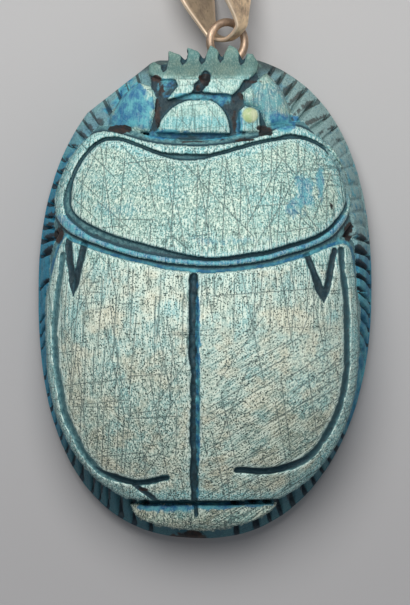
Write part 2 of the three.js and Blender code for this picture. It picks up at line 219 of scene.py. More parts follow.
def depth_inside(path, x, y, reach=2.0):
    """Distance in from a closed path's edge: positive inside, negative outside."""
    near, _ = distance(path, x, y, closed=True, reach=reach)
    return np.where(within(path, x, y), near, -near)


def grain(x, y, size, seed):
    """Smooth random values between -1 and 1 that change over about the given size."""
    rng = np.random.default_rng(seed)
    table = rng.uniform(-1, 1, (64, 64))
    u, v = x / size + 500, y / size + 500
    iu, iv = np.floor(u).astype(int), np.floor(v).astype(int)
    fu, fv = u - iu, v - iv
    fu, fv = fu * fu * (3 - 2 * fu), fv * fv * (3 - 2 * fv)

    def at(a, b):
        return table[(iu + a) % 64, (iv + b) % 64]

    return (at(0, 0) * (1 - fu) + at(1, 0) * fu) * (1 - fv) + (at(0, 1) * (1 - fu) + at(1, 1) * fu) * fv


def step(low, high, value):
    """0 at low and 1 at high, with a soft start and end."""
    t = np.clip((value - low) / (high - low), 0, 1)
    return t * t * (3 - 2 * t)


def height(profile, y):
    ys, zs = zip(*profile)
    return np.interp(y, ys, zs)


def blurred(field, cells):
    """A field softened over the given number of grid cells each way."""
    for axis in (0, 1, 0, 1):
        field = sum(np.roll(field, k, axis) for k in range(-cells, cells + 1)) / (2 * cells + 1)
    return field


def smudges(x, y, spots, seed):
    """Soft uneven patches: each has a centre, two radii and a strength."""
    ragged = 0.3 * grain(x, y, 0.7, seed) + 0.2 * grain(x, y, 0.25, seed + 1)
    total = np.zeros(x.shape)
    for cx, cy, rx, ry, strength in spots:
        out = np.hypot((x - cx) / rx, (y - cy) / ry) + ragged
        total = np.maximum(total, strength * step(1.2, 0.65, out))
    return total


# ---- the hand-cut oval ----


def quarter(right, headward):
    """How square the oval's edge is in a quarter, and how far it reaches."""
    power = np.where(headward, np.where(right, *OVAL_POWER["head"]), np.where(right, *OVAL_POWER["tail"]))
    return power, np.where(headward, HEAD_REACH, TAIL_REACH)


def oval(inset_side, inset_end, angle):
    """Places on the oval at the given angles, moved in from its edge. One shoulder and the front are flat."""
    c, s = np.cos(angle), np.sin(angle)
    power, reach = quarter(c > 0, s > 0)
    x = (HALF_WIDTH - inset_side) * np.sign(c) * np.abs(c) ** (2 / power)
    y = (reach - inset_end) * np.sign(s) * np.abs(s) ** (2 / power)
    rise, limit = FLAT_SHOULDER["rise"], FLAT_SHOULDER["limit"]
    past = np.maximum(0, y - rise * x - limit + inset_end * math.hypot(1, rise)) / (1 + rise**2)
    return x + rise * past, np.minimum(y - past, HEAD_FRONT - inset_end)


def oval_share(x, y, inset):
    """1 on the oval's edge moved in by the inset, less inside it."""
    power, reach = quarter(x > 0, y > 0)
    return (np.abs(x) / (HALF_WIDTH - inset)) ** power + (np.abs(y) / (reach - inset)) ** power


def oval_angle(x, y):
    """The angle that the oval's own formula gives a place."""
    power, reach = quarter(x > 0, y > 0)
    along_y = np.sign(y) * (np.abs(y) / reach) ** (power / 2)
    along_x = np.sign(x) * (np.abs(x) / HALF_WIDTH) ** (power / 2)
    return np.arctan2(along_y, along_x) % (2 * math.pi)


def outward(x, y):
    """The oval's outward direction in the plane."""
    power, reach = quarter(x > 0, y > 0)
    out = np.stack([np.sign(x) * np.abs(x / HALF_WIDTH) ** (power - 1) / HALF_WIDTH,
                    np.sign(y) * np.abs(y / reach) ** (power - 1) / reach], axis=1)
    return out / np.linalg.norm(out, axis=1)[:, None]


def even_angles(count):
    """Angles that step evenly round the oval's edge, and the run to each."""
    fine = np.linspace(0, 2 * math.pi, 20001)
    x, y = oval(0, 0, fine)
    run = np.concatenate([[0], np.cumsum(np.hypot(np.diff(x), np.diff(y)))])
    even = np.arange(count) / count * run[-1]
    return np.interp(even, run, fine), even


# ---- the stone's surfaces ----


def back_half_width(y):
    headward = y > BACK["y"]
    reach = np.where(headward, BACK_REACH["head"], BACK_REACH["tail"])
    power = np.where(headward, BACK_POWER["head"], BACK_POWER["tail"])
    return BACK["half_width"] * (1 - np.clip(np.abs(y - BACK["y"]) / reach, 0, 1) ** power) ** (1 / power)


def arch(x, half_width, crown, edge):
    """A rounded arch across the stone, from its crown down to its edge."""
    r = np.clip(np.abs(x) / np.maximum(half_width, 1e-6), 0, 1)
    return edge + (crown - edge) * (1 - r**ARCH_ROUND) ** (1 / ARCH_FALL)


def back_surface(x, y):
    shell = arch(x - BACK["shift"], back_half_width(y), height(BACK_CROWN, y), BACK_EDGE_Z)
    return shell - SHELL_DROP


def end_surface(shape, x, y):
    return arch(x, shape["half_width"], height(shape["crown"], y), shape["edge"])


def rounding(depth, radius):
    """How far a plate's top drops towards its rounded edge."""
    t = np.clip(1 - depth / radius, 0, 1)
    return radius * (1 - np.sqrt(1 - t * t))


class Relief:
    """The stone seen from above: its top heights, and how deeply each place is carved."""

    def __init__(self):
        self.xs = np.arange(-HALF_WIDTH, HALF_WIDTH + GRID, GRID)
        self.ys = np.arange(-TAIL_REACH, HEAD_REACH + 0.7, GRID)
        self.x, self.y = np.meshgrid(self.xs, self.ys)
        self.wx = self.wandering(self.x, 3)
        self.wy = self.wandering(self.y, 5)
        self.z = np.full(self.x.shape, -1.0)
        self.cut, self.blue, self.dark, self.rim = np.zeros((4, *self.x.shape))

    def wandering(self, place, seed):
        """Places a little off their mark, as a hand-held tool leaves them."""
        return place + 0.05 * grain(self.x, self.y, 1.7, seed) + 0.02 * grain(self.x, self.y, 0.5, seed + 1)

    def plate(self, depth, surface, radius=0.3):
        """Raises a plate over the places where depth is positive."""
        top = np.where(depth > 0, surface - rounding(depth, radius), -1.0)
        self.cut = np.where(top > self.z, 0.0, self.cut)
        self.dark = np.where(top > self.z, 0.0, self.dark)
        self.z = np.maximum(self.z, top)

    def floor(self, depth, surface, dark=0.0):
        """Lays a carved floor under the plates: it counts as fully cut."""
        before = self.z
        self.plate(depth, surface, 0.1)
        laid = self.z > before
        self.cut = np.where(laid, 1.0, self.cut)
        # A laid floor carries the given dark mark: painted shade and dirt in the cut.
        self.dark = np.where(laid, dark, self.dark)

    def ridge(self, cells):
        """How far each place stands above its surroundings, below them where negative."""
        carved = (self.z > 0).astype(float)
        around = blurred(self.z * carved, cells) / np.maximum(blurred(carved, cells), 1e-3)
        return (self.z - around) * carved

    def groove(self, path, width, depth, taper=(1, 1), seed=11, dark=0.5):
        """Cuts a groove along a path. It narrows to the taper shares at the path's two ends."""
        near, share = distance(path, self.wx, self.wy, reach=1.5)
        ragged = 0.18 * grain(self.x, self.y, 0.9, seed) + 0.14 * grain(self.x, self.y, 0.3, seed + 50)
        half = width / 2 * (1 + ragged)
        half = half * (taper[0] + (1 - taper[0]) * step(0, 0.25, share))
        half = half * (taper[1] + (1 - taper[1]) * step(0, 0.25, 1 - share))
        bite = np.clip(1 - (near / half) ** 2.5, 0, 1)
        self.z -= depth * bite * (half / (width / 2))
        self.cut = np.maximum(self.cut, step(0, 0.6, bite))
        # The dark mark is painted shade and dirt in the groove's bottom.
        self.dark = np.maximum(self.dark, dark * step(0.1, 0.7, bite))


def back_outline():
    """The edge of the domed back, seen from above."""
    y = BACK["y"] + np.sin(np.linspace(-1, 1, 121) * math.pi / 2) * 25
    y = np.unique(np.clip(y, *BACK_ENDS))
    w = back_half_width(y)
    left = np.stack([BACK["shift"] - w, y], axis=1)
    right = np.stack([BACK["shift"] + w, y], axis=1)
    return np.vstack([right, left[::-1]])


def clypeus_outline():
    """Each tooth slopes gently to one side and drops steeply into the next notch."""
    edge = list(CLYPEUS_LEFT)
    for tip, notch in zip(TOOTH_TIPS, TOOTH_NOTCHES):
        steep = (notch[0] - TEETH_LEAN[0], tip[1] - TEETH_LEAN[1])
        edge += [tip, steep, notch, (notch[0] + 0.12, notch[1] + 0.2)]
    return np.array(edge + [TOOTH_TIPS[-1]] + CLYPEUS_RIGHT)


def carve_back(relief):
    x, y = relief.x, relief.y
    wx, wy = relief.wx, relief.wy
    shell = back_surface(x, y)
    around = depth_inside(back_outline(), wx, wy)
    top_edge = spline(WING_TOP)
    tailward = wy < np.interp(wx, top_edge[:, 0], top_edge[:, 1])
    to_top, _ = distance(top_edge, wx, wy)
    wings = np.minimum(around, np.where(tailward, to_top, -to_top))
    edge = depth_inside(spline(PRONOTUM_EDGE, closed=True), wx, wy)
    plate = depth_inside(spline(PRONOTUM_PLATE, closed=True), wx, wy)
    rim_width = 0.42 + 0.4 * step(-9, -11.5, x) + 0.15 * step(9, 11, x) + 0.3 * step(9, 12, y)
    rim = np.minimum(np.minimum(edge, rim_width - edge), -plate - 0.3)

    near_plates = np.maximum(wings, edge) + 0.6
    relief.floor(np.minimum(around - 0.25, near_plates), shell - CARVE)
    # Dark lines along the pronotum's plate, its edge and its rim: painted shade and dirt in the cuts.
    rim_line = step(0.25, 0.08, np.abs(edge)) * 0.9
    plate_line = step(0.2, 0.04, np.abs(plate + 0.04)) * np.where(y < 7, 0.5, 0.75)
    outer_line = step(0.3, 0.05, np.abs(edge - rim_width - 0.05)) * np.where(y < 6.5, 1.0, 0.5)
    relief.dark = np.maximum(relief.dark, np.maximum(rim_line, np.maximum(plate_line, outer_line)))
    relief.plate(wings, shell, 0.3)
    relief.plate(rim, shell + PLATE_LIFT, 0.25)
    relief.plate(plate, shell + PLATE_LIFT, 0.22)
    below = step(0.34, 0.2, to_top) * (wings < 0) * (around > 0.3) * (edge < 0)
    on_rim = 0.7 * step(-0.05, 0.1, edge) * step(rim_width + 0.1, rim_width, edge) * (y < 6.5)
    relief.blue = np.maximum(relief.blue, np.maximum(below, on_rim))
    relief.rim = np.maximum(step(1.5, 0.3, around) * 0.8, step(1.0, 0.2, np.abs(edge - rim_width)))
    relief.rim *= step(-0.3, 0, around)

    for i, arm in enumerate(NOTCHES):
        relief.groove(np.array(arm), 0.72, 0.45, (1, 0.25), seed=16 + i, dark=0.75)
    relief.groove(np.array(TAIL_BRANCH), 0.45, 0.3, (0.8, 0.5), seed=15, dark=0.9)
    relief.groove(spline(MARGIN_LEFT), 0.62, 0.5, (0.9, 1), seed=13, dark=0.2)
    relief.groove(spline(MARGIN_RIGHT), 0.66, 0.5, (0.9, 0.9), seed=14, dark=0.5)
    relief.groove(spline(MARGIN_LEFT[-3:]), 0.5, 0.3, (0.3, 0.8), seed=19, dark=1)
    relief.groove(spline(MARGIN_RIGHT[-3:]), 0.6, 0.3, (0.3, 0.9), seed=20, dark=1)
    relief.groove(spline(SEAM), 0.82, 0.65, seed=12, dark=0.9)


def carve_head(relief):
    wx, wy = relief.wx, relief.wy
    brow = end_surface(HEAD_ARCH, relief.x, relief.y)
    relief.floor(depth_inside(np.array(HEAD_CORE), wx, wy), brow - 0.45, dark=0.85)
    for outline, lift, radius in HEAD_PLATES:
        relief.plate(depth_inside(np.array(outline), wx, wy), brow + lift, radius)
    relief.plate(depth_inside(spline(FACE_PLATE, per=6), wx, wy), brow + 0.4, 0.35)
    relief.plate(depth_inside(clypeus_outline(), wx, wy), brow - 0.1, 0.2)
    relief.groove(spline(BROW_MARK), 0.95, 0.5, (1, 0.4), seed=31, dark=1)
    for i, (nx, ny) in enumerate(TOOTH_NOTCHES):
        cut = np.array([(nx, ny + 0.7), (nx - 0.2, ny - 0.45)])
        relief.groove(cut, 0.6, 0.35, (1, 0.3), seed=32 + i, dark=0.8)
    dot = EYE_DOT["radius"] - np.hypot(wx - EYE_DOT["x"], wy - EYE_DOT["y"])
    relief.z += 0.3 * np.sqrt(np.clip(dot / EYE_DOT["radius"], 0, 1))


def carve_tail(relief):
    wx, wy = relief.wx, relief.wy
    plate = depth_inside(spline(TAIL_PLATE, per=6), wx, wy)
    relief.plate(plate, end_surface(TAIL_ARCH, relief.x, relief.y), 0.35)
    nick = np.array([(SUTURE_X + 0.1, -17.9), (SUTURE_X + 0.2, -19.1)])
    relief.groove(nick, 0.45, 0.5, (1, 0.2), seed=41, dark=0.9)


def weather(relief):
    """Uneven hand finish: slow waves, small flats of the rubbing stone, and pits."""
    x, y = relief.x, relief.y
    relief.z += 0.035 * grain(x, y, 3.1, 51) + 0.015 * grain(x, y, 0.9, 52)
    pits = step(0.72, 0.95, grain(x, y, 0.35, 53)) * step(0.1, 0.6, grain(x, y, 2.6, 54))
    relief.z -= 0.05 * pits


def carved_relief():
    relief = Relief()
    carve_back(relief)
    carve_head(relief)
    carve_tail(relief)
    weather(relief)
    return relief


# ---- meshes ----


def ring_quads(count, rows, wrap=False):
    """Faces between rows of points, each row a ring, with the last row joined to the first if asked."""
    row = np.arange(rows if wrap else rows - 1)[:, None]
    here, above = row * count, (row + 1) % rows * count
    i = np.arange(count)[None, :]
    j = (i + 1) % count
    return np.stack([q.ravel() for q in (here + i, here + j, above + j, above + i)], axis=1)


def closed_rings(rings):
    """Vertices and faces of a closed body made of rings from its underside to its top."""
    count = len(rings[0])
    verts = np.vstack([*rings, rings[0].mean(axis=0), rings[-1].mean(axis=0)])
    n = len(verts)
    i = np.arange(count)
    j = (i + 1) % count
    top = (len(rings) - 1) * count
    fans = np.vstack([np.stack([j, i, np.full(count, n - 2)], axis=1),
                      np.stack([top + i, top + j, np.full(count, n - 1)], axis=1)])
    return verts, [ring_quads(count, len(rings)), fans]


def swept(sections):
    """A closed loop of sections, each a ring of points."""
    return np.vstack(sections), [ring_quads(len(sections[0]), len(sections), wrap=True)]


def relief_slab(relief):
    """The relief as a closed body with upright walls down into the plinth."""
    deep = oval_share(relief.x, relief.y, 0.6) < 1
    bottom = np.where(deep, 1.0, 5.0)
    solid = relief.z > bottom + 0.3
    cell = solid[:-1, :-1] & solid[1:, :-1] & solid[:-1, 1:] & solid[1:, 1:]
    rows, cols = relief.z.shape
    index = np.arange(rows * cols).reshape(rows, cols)
    verts = np.vstack([np.stack([relief.x.ravel(), relief.y.ravel(), relief.z.ravel()], axis=1),
                       np.stack([relief.x.ravel(), relief.y.ravel(), bottom.ravel()], axis=1)])

    def quads(a, b, c, d, keep):
        return np.stack([a[keep], b[keep], c[keep], d[keep]], axis=1)

    a, b, c, d = index[:-1, :-1], index[:-1, 1:], index[1:, 1:], index[1:, :-1]
    ua, ub, uc, ud = (corner + rows * cols for corner in (a, b, c, d))

    def open_to(axis, shift):
        return cell & ~shifted(cell, axis, shift)

    faces = [quads(a, b, c, d, cell), quads(ud, uc, ub, ua, cell),
             quads(a, ua, ub, b, open_to(0, 1)), quads(c, uc, ud, d, open_to(0, -1)),
             quads(d, ud, ua, a, open_to(1, 1)), quads(b, ub, uc, c, open_to(1, -1))]
    return verts, faces


def shifted(cell, axis, shift):
    """The neighbour's value, False past the edge."""
    return np.roll(np.pad(cell, 1), shift, axis)[1:-1, 1:-1]


def leg_cut(run, rise, x, y):
    """How deeply the slanting leg cuts bite at a place on the shoulder: 0 to 1."""
    rear_right = step(-9, -14, y) * (x > 0)
    front_left = step(12, 15, y) * (x < 0)
    lean = np.where(x > 0, LEG_LEAN["right"], LEG_LEAN["left"]) * (1 - rear_right) * (1 - front_left)
    phase = (run + lean * rise + 0.4 * grain(run, 0 * run, 2.3, 61)) / LEG_PITCH
    off = np.abs(phase - np.floor(phase) - 0.5) * LEG_PITCH
    half = LEG_CUT_HALF - 0.08 * step(8, 12, y) + 0.1 * grain(run, rise * 3, 1.1, 62)
    bite = np.clip(1 - (off / half) ** 1.6, 0, 1)
    worn = 1 - 0.75 * step(3.5, 6, y) * step(15, 12, y) * (x > 0)
    missing = step(0.1, 0.35, grain(run, 0 * run, 1.5, 63)) * (x < 0) * step(-13, -9, y) * step(13, 10, y)
    worn = worn * (1 - 0.9 * missing) * (1 - 0.7 * step(-3.5, -6, y) * step(-13, -11, y) * (x > 0))
    clear_head = step(4.8, 5.4, np.abs(x) + np.where(y < 0, 9, 0))
    clear_tail = step(2.6, 3.2, np.abs(x + 1.2) + np.where(y > 0, 9, 0))
    return bite * worn * clear_head * clear_tail


def shoulder_rings(levels=46):
    """The sloping band of folded legs between the plinth and the back."""
    angle, run = even_angles(AROUND)
    rings = []
    for k in range(levels + 1):
        rise = k / levels
        inset_side = LEDGE + (SHOULDER_INSET[0] - LEDGE) * rise
        inset_end = LEDGE + (SHOULDER_INSET[1] - LEDGE) * rise
        x, y = oval(inset_side, inset_end, angle)
        z = SHOULDER_FOOT + (SHOULDER_TOP - SHOULDER_FOOT) * rise
        bite = leg_cut(run, rise, x, y)
        shift = (LEG_BULGE * math.sin(math.pi * rise) - LEG_CUT * bite)[:, None]
        flat = np.stack([x, y], axis=1) + outward(x, y) * shift
        rings.append(np.column_stack([flat, z - 0.15 * bite]))
    foot = rings[0].copy()
    foot[:, 2] = PLINTH_TOP - 1
    return [foot] + rings


def plinth_rings():
    """The oval plinth, with a border line cut into its flat underside."""
    angle, _ = even_angles(AROUND)
    underside = [(8, 0), (5, 0), (3, 0), (2, 0), (1.6, 0), (1.5, 0.05), (1.4, 0.16), (1.3, 0.16), (1.2, 0.05),
                 (1.1, 0), (0.5, 0), (0.28, 0), (0.16, 0.03), (0.06, 0.1), (0, 0.25)]
    wall = [(0, z) for z in np.linspace(0.4, PLINTH_TOP - 0.25, 18)]
    ledge = [(0.02, PLINTH_TOP - 0.15), (0.08, PLINTH_TOP - 0.06), (0.2, PLINTH_TOP), (0.6, PLINTH_TOP),
             (3, PLINTH_TOP)]
    rings = []
    for inset, z in underside + wall + ledge:
        x, y = oval(inset, inset, angle)
        if z > 0.2:
            wave = 0.03 * np.abs(grain(x, y + z, 1.9, 71))
            out = outward(x, y)
            x, y = x - wave * out[:, 0], y - wave * out[:, 1]
        rings.append(np.column_stack([x, y, np.full(AROUND, z)]))
    return rings


def tube(path, radius, sides=24):
    """A closed round rod along a straight run of points."""
    start, end = path
    along = (end - start) / np.linalg.norm(end - start)
    side = np.cross(along, [0, 0, 1.0])
    side /= np.linalg.norm(side)
    up = np.cross(side, along)
    angle = np.linspace(0, 2 * math.pi, sides, endpoint=False)
    circle = np.outer(np.cos(angle), side) + np.outer(np.sin(angle), up)
    return closed_rings([start + radius * circle, end + radius * circle])


def ellipsoid(centre, radii, rows=24, sides=36):
    rings = []
    angle = np.linspace(0, 2 * math.pi, sides, endpoint=False)
    for k in range(1, rows):
        lat = -math.pi / 2 + math.pi * k / rows
        rings.append(np.array(centre) + np.stack([radii[0] * math.cos(lat) * np.cos(angle),
                                                  radii[1] * math.cos(lat) * np.sin(angle),
                                                  np.full(sides, radii[2] * math.sin(lat))], axis=1))
    return closed_rings(rings)


def make_mesh(name, bodies):
    """One Blender mesh, in millimetres, from several sets of vertices and faces."""
    verts, sizes, corners, base = [], [], [], 0
    for points, groups in bodies:
        verts.append(points)
        for group in groups:
            sizes.append(np.full(len(group), group.shape[1]))
            corners.append((group + base).ravel())
        base += len(points)
    verts, sizes, corners = np.vstack(verts), np.concatenate(sizes), np.concatenate(corners)
    mesh = bpy.data.meshes.new(name)
    mesh.vertices.add(len(verts))
    mesh.vertices.foreach_set("co", verts.astype(np.float32).ravel())
    mesh.loops.add(len(corners))
    mesh.loops.foreach_set("vertex_index", corners.astype(np.int32))
    mesh.polygons.add(len(sizes))
    mesh.polygons.foreach_set("loop_start", np.concatenate([[0], np.cumsum(sizes)[:-1]]).astype(np.int32))
    mesh.update(calc_edges=True)
    mesh.validate()
    return mesh


def put(name, data):
    piece = bpy.data.objects.new(name, data)
    bpy.context.scene.collection.objects.link(piece)
    return piece


def with_modifier(piece, kind, **settings):
    """Puts a modifier on a piece and makes its result the piece's mesh."""
    modifier = piece.modifiers.new(kind.lower(), kind)
    for key, value in settings.items():
        setattr(modifier, key, value)
    graph = bpy.context.evaluated_depsgraph_get()
    mesh = bpy.data.meshes.new_from_object(piece.evaluated_get(graph))
    piece.modifiers.clear()
    piece.data = mesh


def positions(mesh):
    flat = np.empty(len(mesh.vertices) * 3, np.float32)
    mesh.vertices.foreach_get("co", flat)
    return flat.reshape(-1, 3).astype(float)


def carve_stone(relief):
    """The whole stone as one closed mesh: plinth, shoulder and relief fused, then bored."""
    bodies = [closed_rings(plinth_rings()), closed_rings(shoulder_rings()), relief_slab(relief)]
    stone = put("scarab_stone", make_mesh("scarab_stone", bodies))
    with_modifier(stone, "REMESH", mode="VOXEL", voxel_size=VOXEL)
    reach = (BORE_HEAD - BORE_TAIL) / np.linalg.norm(BORE_HEAD - BORE_TAIL)
    cutters = {
        "bore": tube((BORE_TAIL - 3 * reach, BORE_HEAD + 3 * reach), BORE_RADIUS),
        "tail_hollow": ellipsoid(**TAIL_HOLLOW),
        "ring_pocket": ellipsoid(**RING_POCKET),
    }
    for name, body in cutters.items():
        cutter = put(name, make_mesh(name, [body]))
        with_modifier(stone, "BOOLEAN", operation="DIFFERENCE", solver="MANIFOLD", object=cutter)
        bpy.data.objects.remove(cutter)
    triangles = sum(len(p.vertices) - 2 for p in stone.data.polygons)
    if triangles > STONE_TRIANGLES:
        with_modifier(stone, "DECIMATE", ratio=STONE_TRIANGLES / triangles)
    return stone


def sample(relief, field, x, y):
    """A relief field read between its grid points."""
    u = np.clip((x - relief.xs[0]) / GRID, 0, len(relief.xs) - 1.001)
    v = np.clip((y - relief.ys[0]) / GRID, 0, len(relief.ys) - 1.001)
    i, j = v.astype(int), u.astype(int)
    fv, fu = v - i, u - j
    return ((field[i, j] * (1 - fu) + field[i, j + 1] * fu) * (1 - fv)
            + (field[i + 1, j] * (1 - fu) + field[i + 1, j + 1] * fu) * fv)


def mark(mesh, name, values):
    layer = mesh.attributes.new(name, "FLOAT", "POINT")
    layer.data.foreach_set("value", np.clip(values, 0, 1).astype(np.float32))


# Patches of colour on the stone: centre, two radii and strength.
BLUE_GLAZE = [
    (-6.3, 16, 2.1, 1.8, 1), (-6.6, 14.4, 1.6, 0.9, 0.8), (6.6, 14.3, 1.2, 0.8, 0.9),
    (5.2, 16.2, 2.1, 2.1, 0.52), (-3.2, 13.2, 2, 0.5, 1), (0.6, 13.1, 1.8, 0.35, 0.8),
    (-1.3, 16.4, 2.2, 0.35, 0.9), (1.7, 16.2, 0.9, 0.5, 1), (-3.3, 17.5, 0.9, 0.6, 0.8),
    (2.9, 14.3, 0.3, 1.2, 0.9), (8.3, 8.3, 0.9, 1.9, 0.62), (7.2, 7, 0.5, 1.1, 0.6),
    (9.7, 9.2, 0.4, 1.6, 0.65), (-3, -18.2, 2.6, 0.3, 0.9), (1, -18.1, 2.6, 0.3, 0.9),
    (4.2, -17.9, 1.5, 0.3, 0.8), (SUTURE_X + 0.3, -8, 0.22, 10, 1), (-7, 7, 2.2, 1.2, 0.4),
    (-9.5, 10, 1, 2, 0.35), (-3, 9.5, 2, 1, 0.3), (2, 4.2, 5, 0.5, 0.5), (-5.2, 14.5, 0.9, 1, 0.7),
]
PACKED_DIRT = [
    (-4.1, 17.9, 0.6, 0.35, 0.7), (-3.7, 17, 0.3, 0.8, 0.8), (-7.3, 13.7, 1.2, 0.35, 1),
    (5, 13.5, 0.7, 0.6, 1), (0.05, 17.9, 0.5, 0.6, 1), (-0.6, 17.1, 0.25, 0.35, 0.9),
    (-3.95, 14.8, 0.25, 1.4, 1), (2.45, 14.8, 0.16, 1.4, 1), (2.9, 16.5, 0.3, 0.4, 1),
    (-12.2, 4.7, 0.5, 0.7, 1), (12.1, 5, 0.4, 0.9, 1), (3.9, 17.7, 0.8, 0.18, 0.7),
    (-1.2, -20.9, 1.7, 0.6, 0.8), (-5, -16.6, 0.7, 0.25, 0.8), (10.6, 7.1, 0.14, 0.14, 1),
    (3, 12.75, 2, 0.16, 0.7), (-1, 12.6, 2, 0.12, 0.6), (1.5, 16.4, 0.5, 0.15, 0.5),
]
GREY_WEAR = [
    (0, 19.6, 6, 1.7, 1), (-0.5, -19.6, 7, 1.2, 0.9), (7, -12, 4, 3.5, 0.6), (-6, -10, 5, 5, 0.3),
    (13, 9, 1.6, 4, 0.7), (10.5, 14, 2.5, 2, 0.7), (-11.9, 8, 0.8, 4, 0.8), (-3, 8, 7, 4, 0.35),
    (5.6, 16.4, 2, 2, 0.7), (-9, 17, 3, 3, 0.5),
]
TICK_MARKS = [(9.9, 9.2, 1.4, 2.2, 1), (-8.6, -0.6, 2.5, 1.4, 0.8)]
PALE_WEAR = [
    (-0.8, 14.9, 2.6, 1.7, 0.5), (0.3, 17.3, 2.8, 0.5, 0.5), (3.7, 14.6, 0.8, 1.1, 0.7), (2, -1, 2, 3, 0.5),
    (-4.9, 14.5, 0.35, 0.9, 0.7),
]


def colour_marks(stone, relief):
    """Vertex marks that the glaze reads."""
    co = positions(stone.data)
    x, y, z = co.T
    top = sample(relief, relief.z, x, y)
    on_top = step(-0.6, -0.15, z - top) * (top > 0)
    side = 1 - on_top
    cut = sample(relief, relief.cut, x, y) * on_top
    ridge = sample(relief, relief.ridge(3), x, y) * on_top
    angles, runs = even_angles(4000)
    run = np.interp(oval_angle(x, y), angles, runs)
    rise = (z - SHOULDER_FOOT) / (SHOULDER_TOP - SHOULDER_FOOT)
    slots = leg_cut(run, np.clip(rise, 0, 1), x, y) * side * step(-0.12, -0.06, rise)
    blue = np.maximum(smudges(x, y, BLUE_GLAZE, 81), sample(relief, relief.blue, x, y))
    eye = step(0.05, -0.1, np.hypot(x - EYE_DOT["x"], y - EYE_DOT["y"]) - EYE_DOT["radius"])
    dark = sample(relief, relief.dark, x, y) * on_top
    marks = {"cut": cut, "dark": dark, "side": side, "slots": slots, "blue": blue, "eye_dot": eye,
             "ticks": smudges(x, y, TICK_MARKS, 89),
             "dirt": smudges(x, y, PACKED_DIRT, 83), "grey_wear": smudges(x, y, GREY_WEAR, 85),
             "pale_wear": smudges(x, y, PALE_WEAR, 87),
             "edge": step(0.04, 0.14, ridge), "hollow": step(0.02, 0.2, -ridge),
             "fringe": sample(relief, np.maximum(blurred(relief.cut, 5), relief.rim), x, y)}
    for name, values in marks.items():
        mark(stone.data, name, values)


# ---- the ring and the bail ----


def turned(points, axis, angle):
    c, s = math.cos(angle), math.sin(angle)
    x, y, z = points.T
    if axis == "x":
        return np.stack([x, y * c - z * s, y * s + z * c], axis=1)
    if axis == "y":
        return np.stack([x * c + z * s, y, -x * s + z * c], axis=1)
    return np.stack([x * c - y * s, x * s + y * c, z], axis=1)


RING = {"radius": 1.66, "wire": 0.35, "at": np.array([1.9, 21.25, 3.9]), "tilt": 0.49, "uneven": 0.04}
SHANK = {"radius": 0.42, "length": 4.6}
BAIL = {"length": 9.36, "half_width": 2.46, "metal": 0.39, "narrow": 1.26, "wide": 4.58, "widens": 0.535,
        "curl": 0.02}
BAIL_SIDE = [(0.58, 0.056), (0.76, 0.15), (0.92, 0.45), (1, 0.7), (0.74, 0.91)]
BAIL_TURN = 0.675
BAIL_SWING = 0.257
BAIL_END_Z = 3.36
BAIL_APEX = np.array([2.04, 21.48, 3.98])


def hanging_ring():
    """The jump ring, slightly uneven, with the shank that holds it in the bore."""
    sections = []
    turns = np.linspace(0, 2 * math.pi, 160, endpoint=False)
    around = np.linspace(0, 2 * math.pi, 24, endpoint=False)
    for t in turns:
        wire = RING["wire"] * (1 - RING["uneven"] * (1 + math.sin(3 * t)) / 2)
        r = RING["radius"] + wire * np.cos(around)
        sections.append(np.stack([r * math.cos(t), r * math.sin(t), wire * np.sin(around)], axis=1))
    verts, faces = swept([turned(s, "y", RING["tilt"]) + RING["at"] for s in sections])
    inward = (BORE_TAIL - BORE_HEAD) / np.linalg.norm(BORE_TAIL - BORE_HEAD)
    root = RING["at"] - np.array([0, RING["radius"], 0])
    shank = tube((root, root + inward * SHANK["length"]), SHANK["radius"])
    return put("gold_ring", make_mesh("gold_ring", [(verts, faces), shank]))


def bail_section(width, metal, curl):
    """A curled strip's cross-section with rounded edges: points, nearness to an edge, inner face."""
    half_w, half_m = width / 2, metal / 2
    corner = half_m * 0.9
    flat_half = half_w - corner
    ring = []
    for cx, cy, start in ((half_m - corner, flat_half, 0), (corner - half_m, flat_half, 90),
                          (corner - half_m, -flat_half, 180), (half_m - corner, -flat_half, 270)):
        for a in np.radians(np.linspace(start, start + 90, 6)):
            ring.append((cx + corner * math.cos(a), cy + corner * math.sin(a)))
        if start in (90, 270):
            away = math.cos(math.radians(start + 90))
            for share in np.linspace(-1, 1, 11)[1:-1] * away:
                ring.append((half_m * away, flat_half * share))
    ring = np.array(ring)
    near_edge = np.abs(ring[:, 1]) / half_w
    inside = step(0.3, -0.6, ring[:, 0] / half_m)
    ring[:, 0] -= curl * near_edge**2
    return ring, near_edge, inside


def folded_bail():
    """A strip bent into a closed loop, narrow where it hangs in the ring, turned as it lies on the table."""
    right = [(r * BAIL["half_width"], s * BAIL["length"]) for r, s in BAIL_SIDE]
    left = [(-r, s) for r, s in reversed(right)]
    loop = spline([(0, 0)] + right + [(0, BAIL["length"])] + left, closed=True, per=16)
    sections, edge_glints, insides = [], [], []
    for i, p in enumerate(loop):
        along = loop[(i + 1) % len(loop)] - loop[i - 1]
        along = along / np.linalg.norm(along)
        out = np.array([along[1], -along[0]])
        wider = step(0, BAIL["length"] * BAIL["widens"], p[1])
        width = BAIL["narrow"] + (BAIL["wide"] - BAIL["narrow"]) * wider
        ring, near_edge, inside = bail_section(width, BAIL["metal"], BAIL["curl"] * width)
        # The strip's edges get a painted highlight.
        edge_glints.append(step(0.8, 0.97, near_edge))
        # The strip's inner face is marked for painted shade.
        insides.append(inside)
        flat = p[None, :] + ring[:, :1] * out[None, :]
        points = np.stack([flat[:, 0], flat[:, 1], -ring[:, 1]], axis=1)
        points = turned(points, "y", -BAIL_TURN)
        points = turned(points, "x", math.atan2(BAIL_END_Z - BAIL_APEX[2], BAIL["length"]))
        points = turned(points, "z", BAIL_SWING)
        sections.append(points + BAIL_APEX)
    piece = put("gold_bail", make_mesh("gold_bail", [swept(sections)]))
    mark(piece.data, "rim", np.concatenate(edge_glints))
    mark(piece.data, "inner_face", np.concatenate(insides))
    return piece


# ---- materials ----


